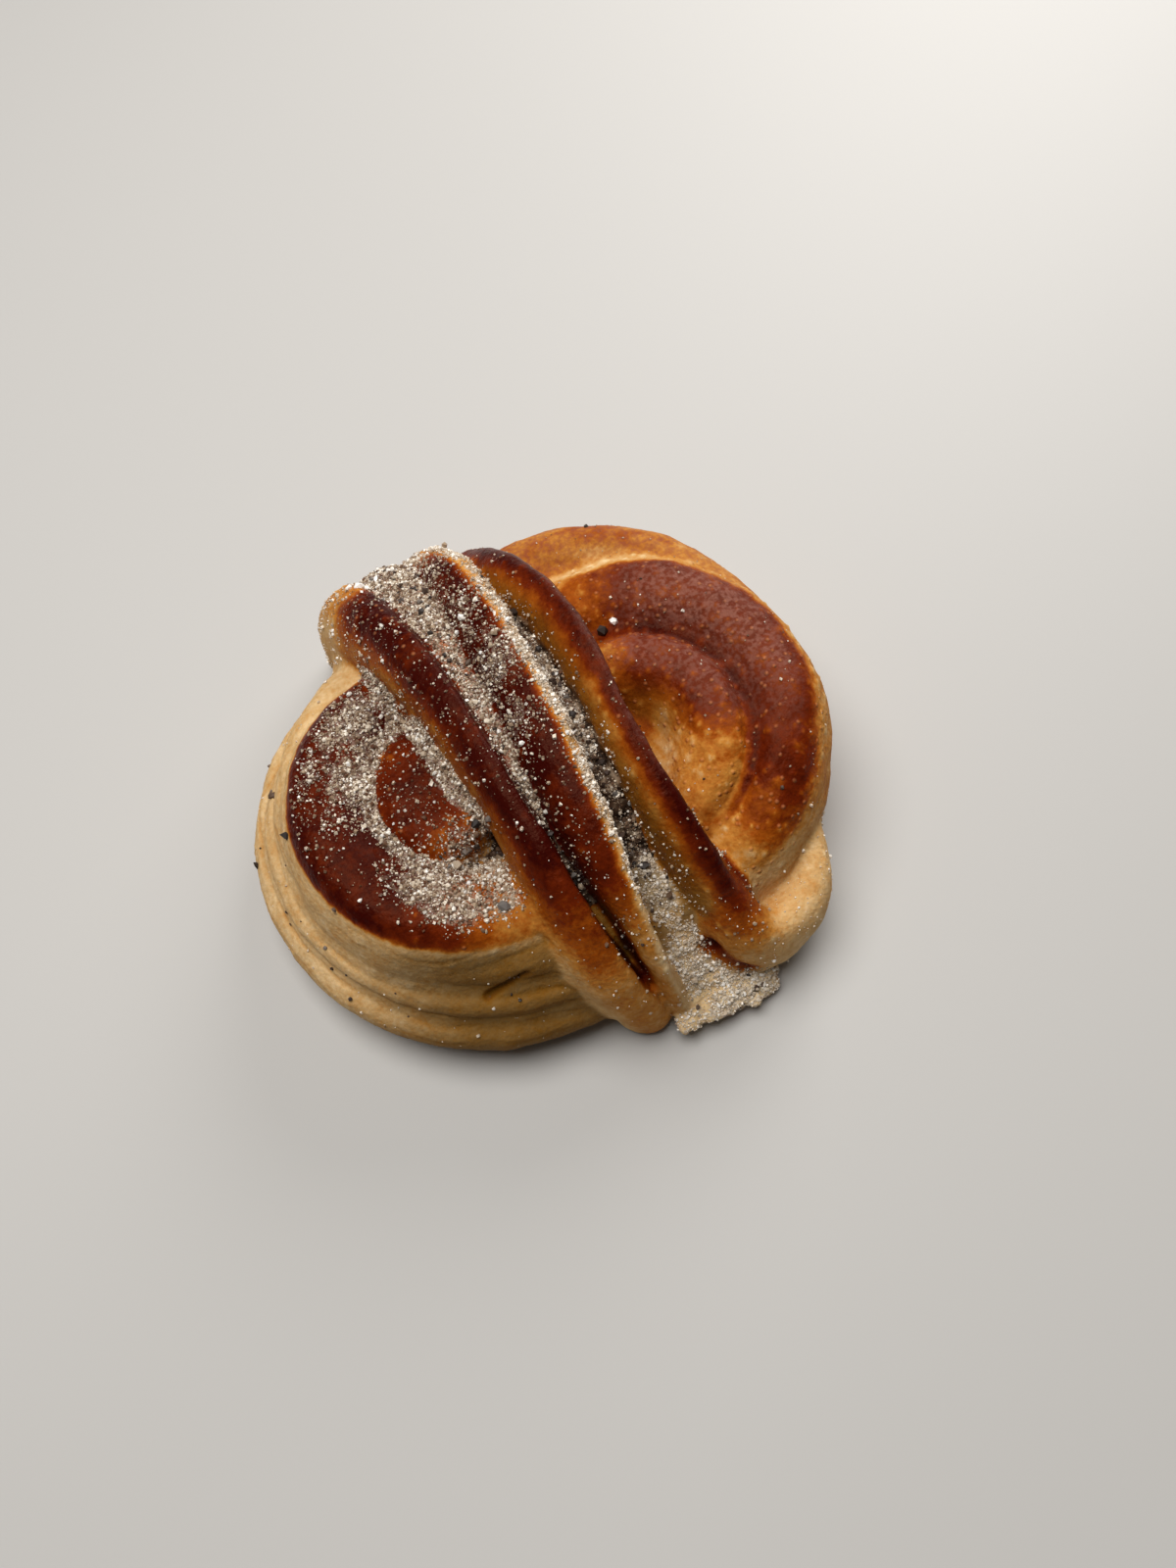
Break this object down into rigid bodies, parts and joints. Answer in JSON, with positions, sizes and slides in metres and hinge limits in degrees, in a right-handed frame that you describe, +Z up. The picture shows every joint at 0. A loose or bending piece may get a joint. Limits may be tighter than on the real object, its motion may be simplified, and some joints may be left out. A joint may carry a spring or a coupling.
{
  "type": "cardamom bun",
  "caption": "Round baked bun of laminated dough wound into a flat coil, with a folded strap of dough laid over the top and tucked under, sprinkled with sugar and crushed cardamom.",
  "frame": {"origin": "on the flat underside, below the middle of the coil", "axes": "+Z up from the underside, +X across the strap to the right lobe, +Y along the strap to its back foot"},
  "size_m": [0.1092, 0.1134, 0.0473],
  "materials": {
    "crust": "baked dough crust, glossy dark brown on top and pale matt at the sides",
    "sugar": "translucent sugar grains",
    "cardamom": "crushed dark cardamom seed"
  },
  "bodies": {
    "root": {"bun": "crust"}
  },
  "joints": []
}
